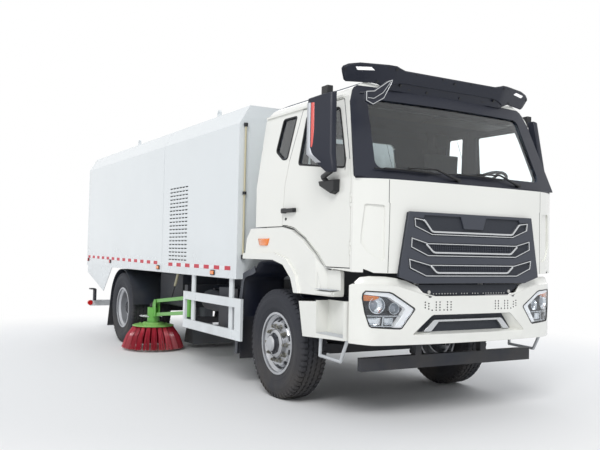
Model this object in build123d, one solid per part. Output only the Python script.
from build123d import *
import math
import os

os.makedirs("parts", exist_ok=True)

# Street sweeper truck, 4x2, in millimetres. +X is forward, +Y is left and +Z is up.
# The origin is on the ground, below the middle of the overall length.

# Main sizes
front_overhang = 1500
wheelbase = 4700
rear_overhang = 2100
body_half_width = 1250
track_front = 2022
twin_spacing = 323
track_rear = 1833
x_front = (front_overhang + wheelbase + rear_overhang) / 2
x_rear = -x_front
xf = x_front - front_overhang
xr = xf - wheelbase

# Running clearances
pin_gap = 0.05
seat_gap = 0.3
part_gap = 6

# Tyres and rims
tyre_radius = 525
tyre_width = 295
bead_radius = 286
rim_flange_radius = 300
rim_half_width = 126
stud_circle = 167.5
stud_count = 10

# Chassis
rail_outer = 430
rail_flange = 80
rail_height = 270
rail_sheet = 8
rail_top = 970
subframe_height = 135
spring_y = 480
king_y = 880
king_radius = 20
axle_z = tyre_radius

# Bodywork
body_floor_z = 1115
body_shoulder_z = 2757
body_roof_z = 2960
body_roof_half = 1130
body_sheet = 6
module_front_x = xf - 690
seam_x = xf - 2927
seam_gap = 8
hopper_rear_x = xr - 1890
tip_x = xr - 1600
tip_z = 1045
tip_pin_radius = 25

# Cab
cab_wall = 50
cab_half_width = 1170
cab_rear_x = xf - 420
cab_pivot_x = xf + 1180
cab_pivot_z = 1000
door_hinge_x = xf + 1278
door_hinge_y = 1166

SIDES = (("right", -1), ("left", 1))


def block(x0, x1, y0, y1, z0, z1):
    centre = Pos((x0 + x1) / 2, (y0 + y1) / 2, (z0 + z1) / 2)
    return centre * Box(abs(x1 - x0), abs(y1 - y0), abs(z1 - z0))


def outline(points, radius=0, grow=0):
    face = Polygon(*points, align=None)
    if radius:
        face = fillet(face.vertices(), radius)
    if grow:
        face = offset(face, amount=grow)
    return face


def prism_x(points, x0, x1, radius=0, grow=0):
    face = Plane.YZ.offset(x0) * outline(points, radius, grow)
    return extrude(face, amount=x1 - x0, dir=(1, 0, 0))


def prism_y(points, y0, y1, radius=0, grow=0):
    face = Plane.XZ.offset(-y0) * outline(points, radius, grow)
    return extrude(face, amount=y1 - y0, dir=(0, 1, 0))


def prism_z(points, z0, z1, radius=0, grow=0):
    face = Plane.XY.offset(z0) * outline(points, radius, grow)
    return extrude(face, amount=z1 - z0, dir=(0, 0, 1))


def strip_x(points, width, x0, x1):
    band = Part()
    for (ya, za), (yb, zb) in zip(points, points[1:]):
        length = math.hypot(yb - ya, zb - za)
        turn = math.degrees(math.atan2(zb - za, yb - ya))
        slab = Rot(turn, 0, 0) * Box(x1 - x0, length, width)
        band += Pos((x0 + x1) / 2, (ya + yb) / 2, (za + zb) / 2) * slab
    for y, z in points[1:-1]:
        band += bar_x(y, z, width / 2, x0, x1)
    return band


def mirrored(points):
    return list(points) + [(-y, z) for y, z in reversed(points)]


def bar_y(x, z, radius, y0, y1):
    return Pos(x, (y0 + y1) / 2, z) * Rot(90, 0, 0) * Cylinder(radius, abs(y1 - y0))


def bar_x(y, z, radius, x0, x1):
    return Pos((x0 + x1) / 2, y, z) * Rot(0, 90, 0) * Cylinder(radius, abs(x1 - x0))


def bar_z(x, y, radius, z0, z1):
    return Pos(x, y, (z0 + z1) / 2) * Cylinder(radius, abs(z1 - z0))


def tube(points, radius):
    body = Pos(*points[0]) * Sphere(radius)
    for start, end in zip(points, points[1:]):
        line = Vector(*end) - Vector(*start)
        plane = Plane(origin=start, z_dir=line)
        body += extrude(plane * Circle(radius), amount=line.length)
        body += Pos(*end) * Sphere(radius)
    return body


def spin_y(points):
    return revolve(Polygon(*points, align=None), axis=Axis.Y)


def on_side(shape, sign):
    return shape if sign > 0 else shape.mirror(Plane.XZ)


def both_sides(shape):
    return shape + shape.mirror(Plane.XZ)


def group(shapes):
    return Compound(children=[solid for shape in shapes for solid in shape.solids()])


def group_both(shapes):
    return group(list(shapes) + [shape.mirror(Plane.XZ) for shape in shapes])


def save(name, shape):
    export_step(shape, "parts/" + name + ".step")


# Chassis frame: two channel rails, cross-members, a subframe and the brackets on them
rail_inner = rail_outer - rail_flange
rail_bottom = rail_top - rail_height
rail_x0 = tip_x - 60
rail_x1 = x_front - 250
web_inner = rail_outer - rail_sheet
rail = block(rail_x0, rail_x1, rail_inner, rail_outer, rail_bottom, rail_top)
rail -= block(
    rail_x0 - 1,
    rail_x1 + 1,
    rail_inner - 1,
    web_inner,
    rail_bottom + rail_sheet,
    rail_top - rail_sheet,
)
frame_mid = []
frame_side = [rail]
for member_x in (rail_x1 - 60, xf - 1150, xf - 2350, xr + 1050, xr - 950, rail_x0 + 60):
    member = block(member_x - 40, member_x + 40, -web_inner, web_inner, rail_top - 210, rail_top - 70)
    member -= block(member_x - 32, member_x + 41, -web_inner + 10, web_inner - 10, rail_top - 202, rail_top - 78)
    frame_mid.append(member)
sub_x1 = module_front_x - 60
sub_top = rail_top + subframe_height
sub_inner = rail_inner + 5
sub_points = [(rail_x0, rail_top), (sub_x1, rail_top), (sub_x1, sub_top), (tip_x + 10, sub_top), (rail_x0, sub_top - 65)]
frame_side.append(prism_y(sub_points, sub_inner, rail_outer - 5))
for member_x in (sub_x1 - 60, seam_x + 60, rail_x0 + 200):
    frame_mid.append(block(member_x - 40, member_x + 40, -sub_inner, sub_inner, rail_top, rail_top + 80))
frame_side.append(bar_y(tip_x, tip_z, tip_pin_radius, sub_inner - 60, sub_inner))
ear = block(cab_pivot_x - 34, cab_pivot_x + 34, 352, 366, rail_top, cab_pivot_z + 32)
ear += block(cab_pivot_x - 34, cab_pivot_x + 34, 404, 418, rail_top, cab_pivot_z + 32)
ear += bar_y(cab_pivot_x, cab_pivot_z, 15, 352, 418)
frame_side.append(ear)
cab_rest_z = 1650
rest_x = cab_rear_x + 30
frame_side.append(block(rest_x, rest_x + 70, 355, 425, rail_top, cab_rest_z))
frame_mid.append(block(rest_x, rest_x + 70, -355, 355, cab_rest_z - 70, cab_rest_z))
underrun_x = x_front - 333
frame_mid.append(block(underrun_x, underrun_x + 60, -995, 995, 420, 533))
frame_side.append(block(underrun_x, underrun_x + 60, 352, 420, 533, rail_bottom))

# Bed of the tipping ram, behind the rear axle
base_x = xr - 260
base_z = 850
bed = block(base_x - 60, base_x + 60, -web_inner, web_inner, 740, 780)
for bed_y in (-75, 65):
    bed += block(base_x - 50, base_x + 50, bed_y, bed_y + 10, 775, base_z + 35)
bed += bar_y(base_x, base_z, 20, -75, 75)
frame_mid.append(bed)

# Brackets that carry the side brooms, with the fixed swing pin between them
broom_post_x = xr + 2220
broom_y = 1030
arm_z0 = 890
arm_z1 = 970
swing_pin = 22
for low_z, high_z in ((490, 560), (arm_z0, arm_z1)):
    frame_side.append(
        block(broom_post_x - 50, broom_post_x + 50, rail_outer + 60, broom_y + 50, low_z, high_z)
    )
frame_side.append(block(broom_post_x - 50, broom_post_x + 50, rail_outer, rail_outer + 60, 490, arm_z1))
frame_side.append(bar_z(broom_post_x, broom_y, swing_pin, 560, arm_z0))
save("chassis_frame", group(frame_mid + list(group_both(frame_side).solids())))

# Engine and gearbox as plain masses on two mounts, with the radiator ahead of them
engine = block(xf - 200, xf + 850, -340, 340, 560, 1440)
engine += block(xf - 650, xf - 200, -200, 200, 600, 1000)
for mount_x in (xf + 350, xf + 700):
    engine += block(mount_x, mount_x + 100, -web_inner, web_inner, 800, 900)
engine += block(xf + 950, xf + 1030, -rail_inner, rail_inner, 640, 1230)
save("engine", engine)

# Front axle: a dropped beam with king pin bosses
beam_points = [
    (-830, 575), (-560, 500), (560, 500), (830, 575), (830, 480), (540, 400), (-540, 400), (-830, 480),
]
beam = prism_x(beam_points, xf - 45, xf + 45)
boss = bar_z(xf, king_y, 50, 455, 595)
beam += both_sides(boss)
beam -= both_sides(bar_z(xf, king_y, king_radius + pin_gap, 400, 650))
save("front_axle", beam)

# Rear axle: a tube with the differential housing and the wheel spindles
rear_face_y = track_rear / 2
axle = bar_y(xr, axle_z, 68, -840, 840)
axle += both_sides(bar_y(xr, axle_z, 50, 840, rear_face_y + 60))
bowl = spin_y([(0, -190), (120, -190), (175, -110), (190, 0), (175, 110), (120, 190), (0, 190)])
axle += Pos(xr, 0, axle_z) * bowl
axle += bar_x(0, axle_z, 80, xr, xr + 330)
save("rear_axle", axle)

propshaft = tube([(xf - 650, 0, 680), (xr + 330, 0, axle_z)], 45)
propshaft -= block(xr, xr + 330, -200, 200, 300, 800)
propshaft -= block(xf - 650, xf, -200, 200, 300, 1000)
propshaft += block(xf - 665, xf - 650, -70, 70, 610, 750)
save("propshaft", propshaft)


def leaf(x, z, half, rise, thick):
    low = ThreePointArc((x - half, z + rise), (x, z), (x + half, z + rise))
    high = ThreePointArc((x - half, z + rise + thick), (x, z + thick), (x + half, z + rise + thick))
    ends = [Line(low @ 0, high @ 0), Line(low @ 1, high @ 1)]
    face = make_face([low, high] + ends)
    return extrude(Plane.XZ.offset(-(spring_y + 38)) * face, amount=76)


springs = Part()
for axle_x, seat_z, half, eye_rise in ((xf, 500, 700, 110), (xr, axle_z + 68, 750, 60)):
    spring = leaf(axle_x, seat_z + 40, half, eye_rise, 20)
    spring += leaf(axle_x, seat_z + 20, half * 0.72, eye_rise * 0.52, 21)
    spring += leaf(axle_x, seat_z, half * 0.45, eye_rise * 0.2, 21)
    for end in (-1, 1):
        end_x = axle_x + end * (half - 15)
        top = seat_z + 40 + eye_rise
        spring += bar_y(end_x, top + 10, 32, rail_outer + 12, spring_y + 38)
        spring += block(end_x - 45, end_x + 45, rail_outer, rail_outer + 12, top - 40, rail_top - 40)
    springs += both_sides(spring)
save("leaf_springs", springs)

# Tanks, air vessels and batteries between the axles
tank_x0 = module_front_x - 1180
tank = block(tank_x0, tank_x0 + 900, 560, 1120, 480, 1040)
tank = fillet(tank.edges().filter_by(Axis.X), 60)
for strap_x in (tank_x0 + 180, tank_x0 + 680):
    tank += block(strap_x, strap_x + 60, rail_outer, 600, 720, 920)
box = block(tank_x0 + 480, tank_x0 + 960, -1120, -560, 560, 1000)
box += block(tank_x0 + 520, tank_x0 + 900, -560, -rail_outer, 700, 900)
save("battery_box", box)

vessels = bar_x(-720, 820, 120, tank_x0 - 60, tank_x0 + 440)
vessels += bar_x(-985, 820, 120, tank_x0 - 60, tank_x0 + 440)
for strap_x in (tank_x0 + 40, tank_x0 + 300):
    vessels += block(strap_x, strap_x + 50, -1000, -rail_outer, 925, 960)
save("side_tanks", tank + vessels)


def body_section(inset):
    half = body_half_width - inset
    low = body_floor_z + inset
    return [
        (-half, low),
        (half, low),
        (half, body_shoulder_z - inset * 0.3),
        (body_roof_half - inset * 0.6, body_roof_z - inset),
        (-body_roof_half + inset * 0.6, body_roof_z - inset),
        (-half, body_shoulder_z - inset * 0.3),
    ]


# Front body module: a closed cabinet for the fan and its engine
module_rear_x = seam_x + seam_gap / 2
module = prism_x(body_section(0), module_rear_x, module_front_x)
module -= prism_x(body_section(body_sheet), module_rear_x + body_sheet, module_front_x - body_sheet)
module += both_sides(block(module_rear_x, sub_x1, rail_inner + 5, rail_outer - 5, sub_top, body_floor_z + 2))
module += block(seam_x + 700, seam_x + 1900, -450, 450, body_floor_z + 1, 2100)
louvre_x0 = xf - 2680
louvre_z0 = 1280
slots = [
    block(louvre_x0 + column * 102, louvre_x0 + column * 102 + 82, side, side + 40, z, z + 20)
    for column in range(6)
    for side in (-body_half_width - 20, body_half_width - 20)
    for z in [louvre_z0 + row * 47 for row in range(20)]
]
module -= slots
tube_x = module_front_x + 18
sight = bar_z(tube_x, -1185, 9, 1330, 2757)
for clip_z in (1345, 2020, 2742):
    sight += block(module_front_x, tube_x, -1195, -1175, clip_z - 12, clip_z + 12)
    sight += bar_z(tube_x, -1185, 20, clip_z - 16, clip_z + 16)
module += sight
eye_x = xf - 1550
eye = block(eye_x - 40, eye_x + 40, 1090, 1110, body_roof_z - 1, body_roof_z + 45)
eye += bar_y(eye_x, body_roof_z + 45, 40, 1090, 1110)
eye -= bar_y(eye_x, body_roof_z + 45, 20, 1080, 1120)
module += both_sides(eye)
save("front_module", module)

# Hopper: flat panels around the load space, open at the rear, hinged below its floor
hopper_front_x = seam_x - seam_gap / 2
outer_section = body_section(0)
inner_section = body_section(body_sheet)
hopper = [prism_x(inner_section, hopper_front_x - body_sheet, hopper_front_x)]
for index in range(len(outer_section)):
    ring = [outer_section[index - 1], outer_section[index], inner_section[index], inner_section[index - 1]]
    hopper.append(prism_x(ring, hopper_rear_x, hopper_front_x))
skirt_points = [
    (hopper_rear_x, body_floor_z),
    (hopper_rear_x, 997),
    (xr - 903, 724),
    (xr - 466, body_floor_z),
]
lug = block(tip_x - 45, tip_x + 45, rail_inner - 32, rail_inner - 6, tip_z, body_floor_z)
lug += bar_y(tip_x, tip_z, 45, rail_inner - 32, rail_inner - 6)
lug -= bar_y(tip_x, tip_z, tip_pin_radius + pin_gap, rail_inner - 40, rail_inner)
ram_x = xr + 1300
ram_z = 1055
cheek = block(ram_x - 50, ram_x + 50, 58, 72, ram_z - 30, body_floor_z)
cheek -= bar_y(ram_x, ram_z, 22, 50, 80)
hopper_eye_x = xr + 270
eye = block(hopper_eye_x - 40, hopper_eye_x + 40, 1090, 1110, body_roof_z, body_roof_z + 45)
eye += bar_y(hopper_eye_x, body_roof_z + 45, 40, 1090, 1110)
eye -= bar_y(hopper_eye_x, body_roof_z + 45, 20, 1080, 1120)
skirt = prism_y(skirt_points, body_half_width - 8, body_half_width)
gate_hinge_x = hopper_rear_x - 3
gate_hinge_z = body_roof_z + 28
gate_ear_y = 800
hinge = bar_y(gate_hinge_x, gate_hinge_z, 12, gate_ear_y - 60, gate_ear_y + 60)
for ear_y in (gate_ear_y - 60, gate_ear_y + 40):
    hinge += block(gate_hinge_x, gate_hinge_x + 130, ear_y, ear_y + 20, body_roof_z + 5, gate_hinge_z + 20)
    hinge += block(gate_hinge_x + 3, gate_hinge_x + 130, ear_y, ear_y + 20, body_roof_z, body_roof_z + 5)
    hinge += bar_y(gate_hinge_x, gate_hinge_z, 20, ear_y, ear_y + 20)
hopper += group_both([skirt, lug, cheek, eye, hinge]).solids()
hatch = block(xr + 300, xr + 1000, -450, 450, body_roof_z, body_roof_z + 50)
hopper.append(chamfer(hatch.faces().sort_by(Axis.Z)[-1].edges(), 20))
save("hopper", group(hopper))

gate_front_x = hopper_rear_x - part_gap
gate = prism_x(body_section(0), gate_front_x - 60, gate_front_x)
gate -= prism_x(body_section(60), gate_front_x - 54, gate_front_x + 1)
for lug_y in (-gate_ear_y, gate_ear_y):
    ear = block(gate_hinge_x - 63, gate_hinge_x - 3, lug_y - 34, lug_y + 34, body_roof_z - 2, gate_hinge_z - 4)
    ear += block(gate_hinge_x - 63, gate_hinge_x, lug_y - 34, lug_y + 34, gate_hinge_z - 18, gate_hinge_z + 10)
    ear += bar_y(gate_hinge_x, gate_hinge_z, 20, lug_y - 34, lug_y + 34)
    ear -= bar_y(gate_hinge_x, gate_hinge_z, 12 + pin_gap, lug_y - 40, lug_y + 40)
    gate += ear
for rib_y in (-700, 0, 700):
    gate += block(gate_front_x - 80, gate_front_x - 58, rib_y - 40, rib_y + 40, body_floor_z + 90, body_roof_z - 90)
for rib_z in (body_floor_z + 120, 1900, 2640):
    gate += block(gate_front_x - 80, gate_front_x - 58, -1180, 1180, rib_z - 35, rib_z + 35)
save("tailgate", gate)

# Tipping ram: barrel on a cross pin, rod out to its eye under the hopper
ram_line = Vector(ram_x - base_x, 0, ram_z - base_z)
ram_plane = Plane(origin=(base_x, 0, base_z), z_dir=ram_line)
barrel = extrude(ram_plane.offset(60) * Circle(55), amount=ram_line.length - 170)
barrel -= extrude(ram_plane.offset(90) * Circle(32 + pin_gap), amount=ram_line.length)
barrel += bar_y(base_x, base_z, 45, -45, 45)
barrel += extrude(ram_plane * Circle(40), amount=70)
barrel -= bar_y(base_x, base_z, 20 + pin_gap, -60, 60)
save("ram_barrel", barrel)
rod = extrude(ram_plane.offset(100) * Circle(32), amount=ram_line.length - 110)
rod += bar_y(ram_x, ram_z, 38, -50, 50)
save("ram_rod", rod)

# Side guards under the front module
guard_x0 = xf - 2149
guard_x1 = xf - 567
guard_y = body_half_width
guard_side = [
    block(guard_x0, guard_x1, guard_y - 30, guard_y, 820, 915),
    block(guard_x0, guard_x1, guard_y - 30, guard_y, 481, 585),
    block(guard_x0, guard_x0 + 57, guard_y - 30, guard_y, 585, 820),
    block(guard_x1 - 147, guard_x1, guard_y - 30, guard_y, 585, 820),
]
for hanger_x in (guard_x0 + 184, guard_x1 - 350):
    guard_side.append(block(hanger_x, hanger_x + 90, guard_y - 50, guard_y - 30, 481, body_floor_z))
save("side_guards", group_both(guard_side))

# Belly tanks, rear mudguards and flaps
belly = block(xr + 850, xr + 1700, rail_outer, 920, 640, 1100)
belly = fillet(belly.edges().filter_by(Axis.X), 40)
save("belly_tanks", both_sides(belly))

guard_profile = Plane.XY * Polygon(
    (574, 605), (580, 605), (580, 1230), (574, 1230), align=None
)
arch = revolve(guard_profile, axis=Axis.Y, revolution_arc=150)
arch = arch.rotate(Axis.Y, -158)
arch = Pos(xr, 0, axle_z) * arch
end_angle = math.radians(158)
end_x = xr + 577 * math.cos(end_angle)
end_z = axle_z + 577 * math.sin(end_angle)
flap_points = [(end_x - 3, end_z), (end_x + 3, end_z), (xr - 690, 190), (xr - 696, 190)]
arch += prism_y(flap_points, 605, 1230)
arch += block(xr - 40, xr + 40, rail_outer - 5, 612, 1060, 1099)
flap_x = xf - 750
flap = block(flap_x, flap_x + 6, 640, 1160, 280, 1100)
flap += block(flap_x - 40, flap_x, rail_outer, 700, 900, 960)
save("mudguards", both_sides(arch + flap))

# Rear light bar on two arms from the rails
light_bar = block(x_rear, x_rear + 60, -1150, 1150, 400, 500)
arm_points = [(x_rear + 60, 420), (x_rear + 60, 500), (rail_x0 + 20, 750), (rail_x0 + 20, 660)]
light_bar += both_sides(prism_y([(x_rear + 30, 500), (x_rear + 30, 560), (rail_x0, 800), (rail_x0, 710), (x_rear + 60, 440)], 360, 420))
save("rear_light_bar", light_bar)

# Suction nozzle across the belly, with its duct up to the hopper
nozzle = prism_y([(xr + 700, 60), (xr + 1060, 60), (xr + 980, 300), (xr + 780, 300)], -480, 480)
nozzle -= prism_y([(xr + 720, 50), (xr + 1040, 50), (xr + 965, 290), (xr + 795, 290)], -465, 465)
nozzle += bar_z(xr + 880, -230, 110, 290, body_floor_z - 10)
for stay_y in (-380, 365):
    nozzle += block(xr + 860, xr + 900, stay_y, stay_y + 15, 290, rail_bottom)
save("suction_nozzle", nozzle)

# Roof duct, lifting eyes and hatch on the front module and the hopper
duct_x = xf - 2050
hood = [(duct_x, body_roof_z), (duct_x + 420, body_roof_z), (duct_x + 300, body_roof_z + 85), (duct_x, body_roof_z + 98)]
duct = prism_y(hood, -700, -300)
room = [(duct_x - 10, body_roof_z + 6), (duct_x + 390, body_roof_z + 6), (duct_x + 290, body_roof_z + 79), (duct_x - 10, body_roof_z + 92)]
duct -= prism_y(room, -692, -308)
save("roof_duct", duct)

# Front bumper, bent along its plan, with openings for lamps and air
plan = [(-220, 1165), (-110, 1055), (-58, 890), (-22, 600), (0, 250)]


def bumper_band(depth0, depth1, z0, z1):
    outer = [(x_front + x - depth0, y - depth0 * (y > 1000) * 0.9) for x, y in plan]
    inner = [(x_front + x - depth1, y - depth1 * (y > 1000) * 0.9) for x, y in plan]
    if depth0 == 0:
        outer[0] = (x_front - 220, 1165)
    outer = outer + [(x, -y) for x, y in reversed(outer)]
    inner = inner + [(x, -y) for x, y in reversed(inner)]
    return prism_z(outer + list(reversed(inner)), z0, z1)


bumper_top = [(-1200, 1150), (-900, 1140), (-640, 1075), (640, 1075), (900, 1140), (1200, 1150)]
bumper_shape = [(1200, 665), (-1200, 665)] + bumper_top
bumper = bumper_band(0, 14, 665, 1150) & prism_x(bumper_shape, x_front - 400, x_front + 10)
lamp_points = [(1020, 1090), (835, 1080), (780, 1066), (590, 945), (715, 790), (1010, 805), (1060, 1020)]
lamp_cut = prism_x(lamp_points, x_front - 400, x_front + 10)
bumper -= both_sides(lamp_cut)
recess_points = mirrored([(690, 700), (465, 900)])
bumper -= prism_x(recess_points, x_front - 400, x_front + 10, 15)
mouth_points = mirrored([(560, 765), (410, 880)])
surround = loft(
    [
        Plane.YZ.offset(x_front - 16) * outline(recess_points, 15),
        Plane.YZ.offset(x_front - 80) * outline(mouth_points, 15),
    ],
    ruled=True,
)
surround_room = loft(
    [
        Plane.YZ.offset(x_front - 15.9) * outline(recess_points, 15, -8),
        Plane.YZ.offset(x_front - 80.1) * outline(mouth_points, 15, -8),
    ],
    ruled=True,
)
surround = (surround - surround_room) & bumper_band(8, 200, 600, 1200)
bumper += surround
holes = [
    block(x_front - 200, x_front + 10, side * (230 + column * 42), side * (230 + column * 42 + 13), z, z + 13)
    for column in range(8)
    for side in (-1, 1)
    for z in (945, 968, 991, 1014)
]
bumper -= holes
shelf = bumper_band(13, 90, 1052, 1064) & block(x_front - 300, x_front, -650, 650, 1000, 1100)
bumper += shelf
for stay_y in (380,):
    stay = block(rail_x1, x_front - 10, stay_y - 20, stay_y + 20, 900, 960)
    bumper += both_sides(stay)
save("front_bumper", bumper)

lamp_inset = [(1015, 1084), (835, 1074), (783, 1060), (598, 945), (718, 796), (1006, 811), (1054, 1018)]
lamp_prism = prism_x(lamp_inset, x_front - 400, x_front + 10)
lamp_back = prism_x(lamp_points, x_front - 400, x_front + 10, 0, 12)
housing = bumper_band(30, 60, 780, 1110) & both_sides(lamp_prism)
rim = lamp_prism - prism_x(lamp_inset, x_front - 400, x_front + 10, 0, -9)
housing += bumper_band(8.2, 60, 780, 1110) & both_sides(rim)
housing += bumper_band(14.2, 60, 780, 1110) & both_sides(lamp_back) - both_sides(lamp_prism)
for lamp_y, lamp_z, radius in ((925, 1000, 62), (800, 990, 36)):
    bowl = bar_x(lamp_y, lamp_z, radius, x_front - 300, x_front)
    bowl -= bar_x(lamp_y, lamp_z, radius - 8, x_front - 310, x_front + 10)
    housing += bumper_band(12, 34, 780, 1110) & both_sides(bowl)
    housing += bumper_band(18, 34, 780, 1110) & both_sides(bar_x(lamp_y, lamp_z, radius * 0.45, x_front - 300, x_front))
shelf_bar = prism_x([(990, 905), (690, 905), (690, 895), (990, 895)], x_front - 400, x_front + 10)
housing += bumper_band(12, 34, 780, 1110) & both_sides(shelf_bar)
for cell_y in (840,):
    wall = block(x_front - 400, x_front, cell_y - 5, cell_y + 5, 815, 900)
    housing += bumper_band(12, 34, 780, 1110) & both_sides(wall)
lens = bumper_band(3, 8, 780, 1110) & both_sides(lamp_prism)
save("headlamp_housings", housing)
save("headlamp_lenses", lens)

# Step boxes beside the engine, open at the step, with a tube step below
step_y = 1200
step_x1 = xf + 1255
box_points = [(xf + 521, 970), (xf + 598, 661), (step_x1, 690), (step_x1, 1010)]
steps = prism_y(box_points, 980, step_y)
steps -= prism_y(box_points, 970, step_y - 10, 0, -10)
well = block(xf + 820, step_x1 - 10, 1070, step_y + 10, 712, 1020)
steps -= well
steps += block(xf + 812, step_x1, 1062, 1070, 702, 1000)
steps += block(xf + 812, xf + 820, 1062, step_y - 2, 702, 996)
steps += block(xf + 812, step_x1, 1062, step_y, 702, 712)
hoop = tube(
    [(xf + 830, 1150, 690), (xf + 820, 1150, 515), (xf + 1140, 1150, 505), (xf + 1240, 1150, 695)], 15
)
steps += hoop
stay = block(xf + 900, xf + 1000, rail_outer, 1062, 860, 940)
save("step_boxes", group_both([steps, stay]))

# Steering knuckles
for side, sign in SIDES:
    knuckle = bar_z(xf, king_y, king_radius, 425, 625)
    knuckle += bar_z(xf, king_y, 48, 601, 630)
    knuckle += bar_z(xf, king_y, 48, 420, 449)
    knuckle += block(xf - 48, xf + 48, king_y, king_y + 85, 601, 630)
    knuckle += block(xf - 48, xf + 48, king_y, king_y + 85, 420, 449)
    knuckle += block(xf - 60, xf + 60, king_y + 56, king_y + 86, 420, 630)
    knuckle += bar_y(xf, axle_z, 35, king_y + 80, king_y + 250)
    save("knuckle_" + side, on_side(knuckle, sign))

# Wheels
half_tyre = tyre_width / 2
tyre_points = [
    (bead_radius + seat_gap, 116),
    (303, 117),
    (330, 136),
    (400, half_tyre),
    (450, half_tyre - 3),
    (500, half_tyre - 14),
    (519, half_tyre - 30),
    (tyre_radius, 0),
    (519, -half_tyre + 30),
    (500, -half_tyre + 14),
    (450, -half_tyre + 3),
    (400, -half_tyre),
    (330, -136),
    (303, -117),
    (bead_radius + seat_gap, -116),
]
tyre = spin_y(tyre_points)
rim_points = [
    (300, 126), (300, 118), (286, 118), (286, 95), (258, 70), (258, -30), (286, -60), (286, -118),
    (300, -118), (300, -126), (278, -126), (278, -66), (250, -36), (250, 76), (278, 101), (278, 126),
]
rim = spin_y(rim_points)


def around(count, radius, tool, start=0):
    ring = Part()
    for index in range(count):
        turn = start + index * 360 / count
        ring += Rot(0, turn, 0) * Pos(radius, 0, 0) * tool
    return ring


nut = Rot(90, 0, 0) * extrude(RegularPolygon(18, 6), amount=24, both=True)
hand_hole = Rot(90, 0, 0) * extrude(SlotOverall(62, 40), amount=60, both=True)
hand_hole = Rot(0, 90, 0) * hand_hole
front_y = track_front / 2
hub_face = front_y + 105
disc_points = [(252, 40), (252, 28), (238, 40), (205, 92), (140, 92), (140, 105), (212, 105), (248, 50)]
front_disc = spin_y(disc_points)
front_disc -= around(stud_count, 222, Pos(0, 70, 0) * hand_hole, 18)
hub_points = [(35 + pin_gap, -30), (120, -30), (120, 92), (139, 92), (139, 130), (110, 150), (80, 150), (76, 190), (60, 205), (0, 205), (0, 135), (35 + pin_gap, 135)]
front_hub = spin_y(hub_points)
drum = spin_y([(120, 30), (205, 30), (205, -90), (190, -90), (190, 15), (120, 15)])
for side, sign in SIDES:
    save("tyre_front_" + side, on_side(Pos(xf, front_y, axle_z) * tyre, sign))
    wheel = rim + front_disc + front_hub + drum + around(stud_count, stud_circle, Pos(0, 115, 0) * nut)
    save("rim_front_" + side, on_side(Pos(xf, front_y, axle_z) * wheel, sign))

twin_disc_points = [(252, -10), (252, -24), (236, -40), (212, -150), (140, -150), (140, -161), (222, -161), (248, -50)]
twin_disc = spin_y(twin_disc_points)
twin_disc -= around(stud_count, 232, Pos(0, -90, 0) * hand_hole, 18)
rear_hub = spin_y([
    (50 + pin_gap, -70), (150, -70), (150, -20), (139, -20), (139, 60), (120, 90), (95, 100), (95, 190), (80, 200), (0, 200), (0, 80), (50 + pin_gap, 80),
])
for side, sign in SIDES:
    for place, shift in (("inner", -twin_spacing / 2), ("outer", twin_spacing / 2)):
        save("tyre_rear_" + place + "_" + side, on_side(Pos(xr, rear_face_y + shift, axle_z) * tyre, sign))
    outer = rim + twin_disc + around(stud_count, stud_circle, Pos(0, -140, 0) * nut)
    inner = (rim + twin_disc).mirror(Plane.XZ)
    twin = Pos(0, rear_face_y + twin_spacing / 2, 0) * outer
    twin += Pos(0, rear_face_y - twin_spacing / 2, 0) * inner
    twin += Pos(0, rear_face_y, 0) * rear_hub
    save("rims_rear_" + side, on_side(Pos(xr, 0, axle_z) * twin, sign))


# Cab: one outer form, used for the shell, the doors and the glass.
# Below the cowl the front stands upright; above it the plan leans back with the windscreen.
cowl_z = 2045
lean = Vector(-275, 0, 705).normalized()
lower_plan = [(0, 0), (6, 500), (26, 890), (66, 1020), (186, 1172)]
upper_plan = [(0, 0), (10, 450), (35, 800), (55, 960), (75, 1075), (100, 1172)]


def cab_plan(table, front_x, inset):
    half = [(front_x - depth - inset, y) for depth, y in table]
    half[-1] = (half[-1][0], half[-1][1] + 60)
    whole = [(x, -y) for x, y in reversed(half[1:])] + half
    return whole + [(cab_rear_x - 400, 1300), (cab_rear_x - 400, -1300)]


def cab_form(inset):
    i = inset
    side_line = [
        (cab_rear_x + i, 1655 + i),
        (cab_rear_x + i, 2740),
        (cab_rear_x + 35 + i, 2840 - i * 0.5),
        (cab_rear_x + 140 + i * 0.5, 2905 - i),
        (xf + 250, 2955 - i),
        (xf + 850, 2958 - i),
        (xf + 1040 - i * 0.4, 2920 - i),
        (xf + 1120 - i, 2860 - i * 0.8),
        (xf + 1600, 2000),
        (xf + 1600, 1243 + i),
        (xf + 910, 1280 + i),
        (xf + 770, 1400 + i),
        (xf + 550, 1545 + i),
        (xf + 350, 1630 + i),
        (xf + 200, 1655 + i),
    ]
    half = cab_half_width - i
    front_line = [
        (half, 1200),
        (half, 2060),
        (1070 - i, 2770),
        (1010 - i, 2850 - i * 0.5),
        (900 - i, 2910 - i),
        (650, 2950 - i),
    ]
    form = prism_y(side_line, -1300, 1300)
    form = form & prism_x(mirrored(front_line), cab_rear_x - 100, xf + 1700)
    lower = prism_z(cab_plan(lower_plan, xf + 1462, i), 1100, cowl_z - i)
    face = Plane.XY.offset(cowl_z - i) * outline(cab_plan(upper_plan, xf + 1437, i))
    upper = extrude(face, amount=1100, dir=lean)
    return form & (lower + upper)


cab_tilt = 50
hump_radius = 335
hump_sheet = 40
hump_half = 1090
cab_outer = cab_form(0)
cab_inner = cab_form(cab_wall)
tunnel_room = block(cab_rear_x - 10, xf + 1050, -400, 400, 1200, 1670)
tunnel_wall = block(cab_rear_x - 10, xf + 1100, -450, 450, 1200, 1720)
shell = cab_outer - (cab_inner - tunnel_wall) - tunnel_room

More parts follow.
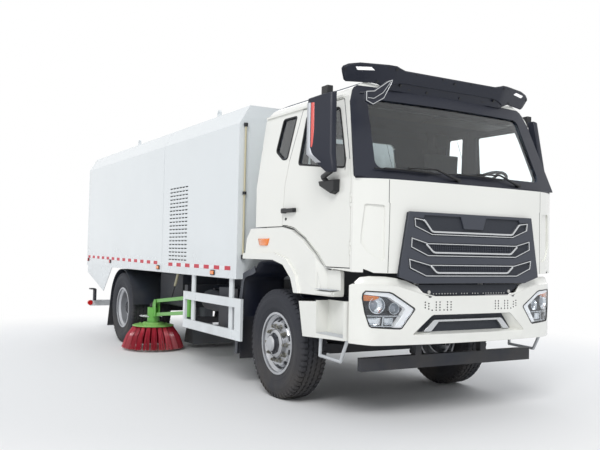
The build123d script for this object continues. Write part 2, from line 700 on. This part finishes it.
screen_points = [(-975, 2125), (975, 2125), (905, 2755), (-905, 2755)]
quarter_points = [(xf - 40, 2715), (xf + 222, 2712), (xf + 145, 2300), (xf + 60, 2300), (xf - 108, 2400)]
rear_window = [(-600, 2250), (600, 2250), (560, 2650), (-560, 2650)]
door_window = [(xf + 405, 2690), (xf + 960, 2685), (xf + 1165, 2200), (xf + 1170, 2125), (xf + 370, 2225)]


shell -= prism_x(screen_points, xf + 950, xf + 1600, 60)
shell -= prism_y(quarter_points, -1300, 1300, 35)
shell -= prism_x(rear_window, cab_rear_x - 100, cab_rear_x + 200, 60)
door_front = door_hinge_x - 3
door_points = [
    (xf + 130, 1665), (xf + 195, 2280), (xf + 320, 2755), (xf + 1012, 2745), (xf + 1222, 2195), (door_front, 2030), (door_front, 1292),
    (xf + 920, 1292), (xf + 782, 1409), (xf + 558, 1552), (xf + 355, 1640), (xf + 200, 1665),
]
opening_points = [
    (xf + 124, 1655), (xf + 189, 2282), (xf + 315, 2761), (xf + 1018, 2751), (xf + 1229, 2198), (door_front + part_gap, 2032), (door_front + part_gap, 1284),
    (xf + 915, 1284), (xf + 777, 1402), (xf + 555, 1546), (xf + 353, 1634), (xf + 198, 1659),
]


def side_layer(inset):
    half = cab_half_width - inset
    inner_line = [(half, 1000), (half, 2060), (1070 - inset, 2770), (1010 - inset, 2900 - inset)]
    return cab_outer - prism_x(mirrored(inner_line), cab_rear_x - 100, xf + 1700)


shell -= side_layer(cab_wall + part_gap) & both_sides(prism_y(opening_points, 900, 1300))

# Hump in the floor over the bumper's top edge, which the tilting cab swings around
hump = bar_y(cab_pivot_x, cab_pivot_z, hump_radius + hump_sheet, -hump_half - 30, hump_half + 30)
shell += hump & cab_inner
tilted_front = block(0, x_front + part_gap - cab_pivot_x, -hump_half, hump_half, -400, 0)
tilted_front = Pos(cab_pivot_x, 0, cab_pivot_z) * Rot(0, -cab_tilt, 0) * tilted_front
swing_room = bar_y(cab_pivot_x, cab_pivot_z, hump_radius, -hump_half, hump_half)
shell -= swing_room + tilted_front
lug_top = cab_pivot_z + hump_radius + 10
pivot_lug = block(cab_pivot_x - 22, cab_pivot_x + 22, 373, 397, cab_pivot_z, lug_top)
pivot_lug += bar_y(cab_pivot_x, cab_pivot_z, 23, 373, 397)
pivot_lug -= bar_y(cab_pivot_x, cab_pivot_z, 15 + pin_gap, 360, 410)
shell += both_sides(pivot_lug)
hinge_zs = (1450, 1850)
for hinge_z in hinge_zs:
    knob = bar_z(door_hinge_x, door_hinge_y, 9, hinge_z + 25, hinge_z + 55)
    knob += bar_z(door_hinge_x, door_hinge_y, 9, hinge_z - 55, hinge_z - 25)
    knob += block(door_hinge_x, door_hinge_x + 12, door_hinge_y - 30, door_hinge_y + 4, hinge_z + 25, hinge_z + 55)
    knob += block(door_hinge_x, door_hinge_x + 12, door_hinge_y - 30, door_hinge_y + 4, hinge_z - 55, hinge_z - 25)
    pocket = bar_z(door_hinge_x, door_hinge_y, 15, hinge_z - 25, hinge_z + 25)
    shell -= both_sides(pocket)
    shell += both_sides(knob)
    shell += both_sides(bar_z(door_hinge_x, door_hinge_y, 5, hinge_z - 55, hinge_z + 55))
gutter = block(cab_rear_x + 25, xf + 1000, 1060, 1086, 2764, 2784)
shell += both_sides(gutter)
vent_points = [(1085, 1820), (925, 1812), (925, 1345), (1060, 1420), (1110, 1500), (1110, 1560)]
shell -= both_sides(prism_x(vent_points, xf + 1200, xf + 1600, 18)) & (cab_outer - cab_form(16))
save("cab_shell", shell)

glass_layer = cab_form(12) - cab_form(18)
glass = glass_layer & prism_x(screen_points, xf + 950, xf + 1600, 60, -seat_gap)
glass += glass_layer & prism_y(quarter_points, -1300, 1300, 35, -seat_gap)
glass += glass_layer & prism_x(rear_window, cab_rear_x - 100, cab_rear_x + 200, 60, -seat_gap)
save("cab_glass", glass)

door_skin = side_layer(cab_wall) & prism_y(door_points, 900, 1300)
door_skin -= prism_y(door_window, 900, 1300, 45)
for hinge_z in hinge_zs:
    barrel = bar_z(door_hinge_x, door_hinge_y, 9, hinge_z - 20, hinge_z + 20)
    barrel += block(door_hinge_x - 14, door_hinge_x, door_hinge_y - 22, door_hinge_y + 2, hinge_z - 20, hinge_z + 20)
    clear = bar_z(door_hinge_x, door_hinge_y, 15, hinge_z - 60, hinge_z + 60)
    door_skin -= clear
    door_skin += barrel
    door_skin -= bar_z(door_hinge_x, door_hinge_y, 5 + pin_gap, hinge_z - 60, hinge_z + 60)
handle = block(xf + 158, xf + 378, cab_half_width - 2, cab_half_width + 35, 1785, 1815)
door_skin += handle
for side, sign in SIDES:
    save("door_" + side, on_side(door_skin, sign))
    pane = glass_layer & prism_y(door_window, 900, 1300, 45, -seat_gap)
    save("door_glass_" + side, on_side(pane, sign))

# Door mirrors
mirror_top = [(xf + 1085, 1262), (xf + 1190, 1270), (xf + 1215, 1400), (xf + 1185, 1522), (xf + 1085, 1530)]
mirror_low = [(xf + 1100, 1290), (xf + 1170, 1296), (xf + 1185, 1390), (xf + 1165, 1460), (xf + 1100, 1465)]
mirror = prism_z(mirror_top, 2240, 2750, 15)
mirror += loft(
    [
        Plane.XY.offset(2240) * outline(mirror_top, 15),
        Plane.XY.offset(2100) * outline(mirror_low, 15),
    ],
    ruled=True,
)
mirror += block(xf + 1060, xf + 1140, cab_half_width + seat_gap, 1250, 1900, 2040)
mirror += tube([(xf + 1110, 1225, 2000), (xf + 1135, 1330, 2130)], 24)
mirror += tube([(xf + 1135, 1360, 2745), (xf + 1120, 1330, 2805)], 20)
for side, sign in SIDES:
    save("door_mirror_" + side, on_side(mirror, sign))

# Wheel arch covers under the cab and the grille panel
fender_points = [
    (xf - 600, 1333), (xf - 560, 1540), (xf - 470, 1640), (xf + 190, 1645), (xf + 343, 1618), (xf + 541, 1532),
    (xf + 760, 1388), (xf + 900, 1262), (xf + 1100, 1262), (xf + 1100, 1040), (xf + 460, 1040), (xf + 400, 1170), (xf + 250, 1290), (xf + 50, 1333),
]
fender = prism_y(fender_points, cab_half_width - 70, cab_half_width + 30, 25)
fender -= prism_y(fender_points, cab_half_width - 80, cab_half_width + 22, 25, -8)
lip_points = [
    (xf - 600, 1333), (xf - 590, 1390), (xf + 60, 1400), (xf + 300, 1350), (xf + 470, 1210), (xf + 540, 1040),
    (xf + 460, 1040), (xf + 400, 1170), (xf + 250, 1290), (xf + 50, 1333),
]
fender += prism_y(lip_points, cab_half_width + 28, cab_half_width + 55)
fender += block(xf - 300, xf + 100, 900, cab_half_width - 62, 1560, 1655)
fender += block(xf + 930, xf + 960, cab_half_width - 65, cab_half_width - 10, 1240, 1277)
fender += block(xf + 820, xf + 1095, cab_half_width + 28, cab_half_width + 60, 1055, 1080)
save("cab_fenders", both_sides(fender))

# Grille: a dark panel with three openings and bright trims that hook up at both ends
grille_x = xf + 1462
panel_points = mirrored([(720, 1770), (816, 1220), (612, 1150)])
grille = prism_x(panel_points, grille_x, grille_x + 26, 12)
mesh_rows = (
    (545, 1738, 430, 1606),
    (520, 1507, 420, 1432),
    (470, 1325, 395, 1262),
)
for top_y, top_z, low_y, low_z in mesh_rows:
    opening = mirrored([(top_y, top_z), (low_y, low_z)])
    grille -= prism_x(opening, grille_x + 8, grille_x + 40, 8)
wing_rows = (
    (660, 1705, 655, 1650, 490, 1592, 505, 1655, 570, 1690),
    (684, 1540, 684, 1475, 520, 1412, 535, 1500),
    (708, 1362, 698, 1305, 535, 1242, 490, 1322),
)
for row in wing_rows:
    pocket = list(zip(row[0::2], row[1::2]))
    grille -= both_sides(prism_x(pocket, grille_x + 12, grille_x + 40, 5))
trim_rows = (
    (665, 1715, 660, 1648, 480, 1584),
    (690, 1550, 690, 1470, 515, 1404),
    (716, 1372, 704, 1298, 530, 1233),
    (572, 1704, 480, 1610, 430, 1596),
    (528, 1509, 440, 1427, 420, 1422),
    (480, 1325, 398, 1255, 390, 1252),
)
for row in trim_rows:
    line = list(zip(row[0::2], row[1::2]))
    grille += strip_x(mirrored(line), 13, grille_x + 20, grille_x + 33)
grille -= tilted_front
save("grille", grille)

visor_low = [(0, 1125, 2850), (650, 1120, 2852), (1090, 1010, 2876)]
visor_rise = (90, 198)


def visor_slice(y, x, z):
    dx, dz = visor_rise
    points = [(xf + x, z), (xf + x + dx, z + dz), (xf + x + dx - 22, z + dz + 8), (xf + x - 26, z + 12)]
    return Plane.XZ.offset(-y) * Polygon(*points, align=None)


visor = Part()
for near, far in zip(visor_low, visor_low[1:]):
    visor += loft([visor_slice(*near), visor_slice(*far)], ruled=True)
visor = both_sides(visor)
for stay_y in (-450, 450):
    visor += block(xf + 1030, xf + 1130, stay_y - 20, stay_y + 20, 2890, 2915)
visor -= cab_outer
save("visor", visor)

# Seats and dashboard
seat = block(xf + 250, xf + 750, 470, 950, 1850, 1980)
seat += block(xf + 180, xf + 290, 470, 950, 1850, 2520)
seat += block(xf + 190, xf + 280, 600, 820, 2520, 2720)
seat += block(xf + 330, xf + 650, 550, 870, 1700, 1850)
save("seats", both_sides(seat))
dash = block(xf + 1130, xf + 1340, -1050, 1050, 1680, 2040)
dash += block(xf + 1130, xf + 1200, -1050, 1050, 1300, 1690)
wheel_plane = Plane(origin=(xf + 900, 710, 2120), z_dir=(-1, 0, 1.7))
dash += wheel_plane * Torus(215, 15)
dash += wheel_plane * Pos(0, 0, -20) * Cylinder(60, 50)
for turn in (0, 120, 240):
    dash += wheel_plane * Rot(0, 0, turn) * Pos(110, 0, -5) * Box(215, 30, 14)
dash += wheel_plane * Pos(0, 0, -200) * Cylinder(30, 370)
dash = dash & cab_form(cab_wall + seat_gap)
dash -= bar_y(cab_pivot_x, cab_pivot_z, hump_radius + hump_sheet + seat_gap, -1200, 1200)
save("dashboard", dash)

# Kerb mirror over the windscreen's right edge, and the wipers
kerb = block(xf + 1350, xf + 1400, -1100, -830, 2660, 2880)
kerb += tube([(xf + 1375, -960, 2870), (xf + 1300, -960, 2930), (xf + 1080, -940, 2850)], 12)
kerb -= cab_form(0)
save("kerb_mirror", kerb)
wipers = Part()
for pivot_y in (-150, 610):
    wipers += tube([(xf + 1462, pivot_y, 2066), (xf + 1430, pivot_y - 560, 2100)], 9)
    wipers += tube([(xf + 1440, pivot_y - 30, 2090), (xf + 1400, pivot_y - 700, 2130)], 7)
for pivot_y in (-150, 610):
    wipers += bar_x(pivot_y, 2066, 14, xf + 1400, xf + 1465)
wipers -= cab_form(0)
save("wipers", wipers)

# Side brooms: a post that swings, two equal links that lift, and a head that stays level
link_x = -1110
link_z = -112
post_x = broom_post_x
top_pivot = (post_x - 80, 800)
low_pivot = (post_x - 80, 610)
head_x = post_x - 1330
bristle_radius = 455
disc_radius = 290
post = bar_z(post_x, broom_y, 36, 565, arm_z0 - 5)
post -= bar_z(post_x, broom_y, swing_pin + pin_gap, 500, 1000)
ear_points = [(post_x - 105, 585), (post_x - 20, 575), (post_x - 20, 830), (post_x - 105, 825)]
for ear_y in (broom_y - 34, broom_y + 26):
    post += prism_y(ear_points, ear_y, ear_y + 8)
post -= bar_z(post_x, broom_y, swing_pin + pin_gap, 500, 1000)
for x, z in (top_pivot, low_pivot):
    post += bar_y(x, z, 14, broom_y - 34, broom_y + 34)


def link(pivot):
    x, z = pivot
    slope = [(x, z + 24), (x, z - 24), (x + link_x, z + link_z - 24), (x + link_x, z + link_z + 24)]
    arm = prism_y(slope, broom_y - 20, broom_y + 20)
    for ex, ez in ((x, z), (x + link_x, z + link_z)):
        arm += bar_y(ex, ez, 24, broom_y - 20, broom_y + 20)
    for ex, ez in ((x, z), (x + link_x, z + link_z)):
        arm -= bar_y(ex, ez, 14 + pin_gap, broom_y - 30, broom_y + 30)
    return arm


head = bar_z(head_x, broom_y, 85, 372, 590)
head += bar_z(head_x, broom_y, 22, 340, 372)
inner_x = top_pivot[0] + link_x
plate = [
    (inner_x + 25, low_pivot[1] + link_z - 26),
    (inner_x + 25, top_pivot[1] + link_z + 20),
    (inner_x - 40, top_pivot[1] + link_z + 20),
    (head_x - 20, 560),
    (head_x - 20, 450),
    (inner_x - 30, low_pivot[1] + link_z - 30),
]
for ear_y in (broom_y - 34, broom_y + 26):
    head += prism_y(plate, ear_y, ear_y + 8)
for x, z in (top_pivot, low_pivot):
    head += bar_y(x + link_x, z + link_z, 14, broom_y - 34, broom_y + 34)
brush = Pos(head_x, broom_y, 345) * Cylinder(disc_radius, 30)
brush -= bar_z(head_x, broom_y, 22 + pin_gap, 300, 400)
tuft = loft(
    [
        Plane(origin=(disc_radius - 45, 0, 331), z_dir=(0, 0, -1)) * Rectangle(70, 52),
        Plane(origin=(bristle_radius - 60, 0, 20), z_dir=(0, 0, -1)) * Rectangle(112, 84),
    ],
    ruled=True,
)
for index in range(22):
    brush += Pos(head_x, broom_y, 0) * Rot(0, 0, index * 360 / 22) * tuft
for side, sign in SIDES:
    save("broom_post_" + side, on_side(post, sign))
    save("broom_link_upper_" + side, on_side(link(top_pivot), sign))
    save("broom_link_lower_" + side, on_side(link(low_pivot), sign))
    save("broom_head_" + side, on_side(head, sign))
    save("broom_brush_" + side, on_side(brush, sign))
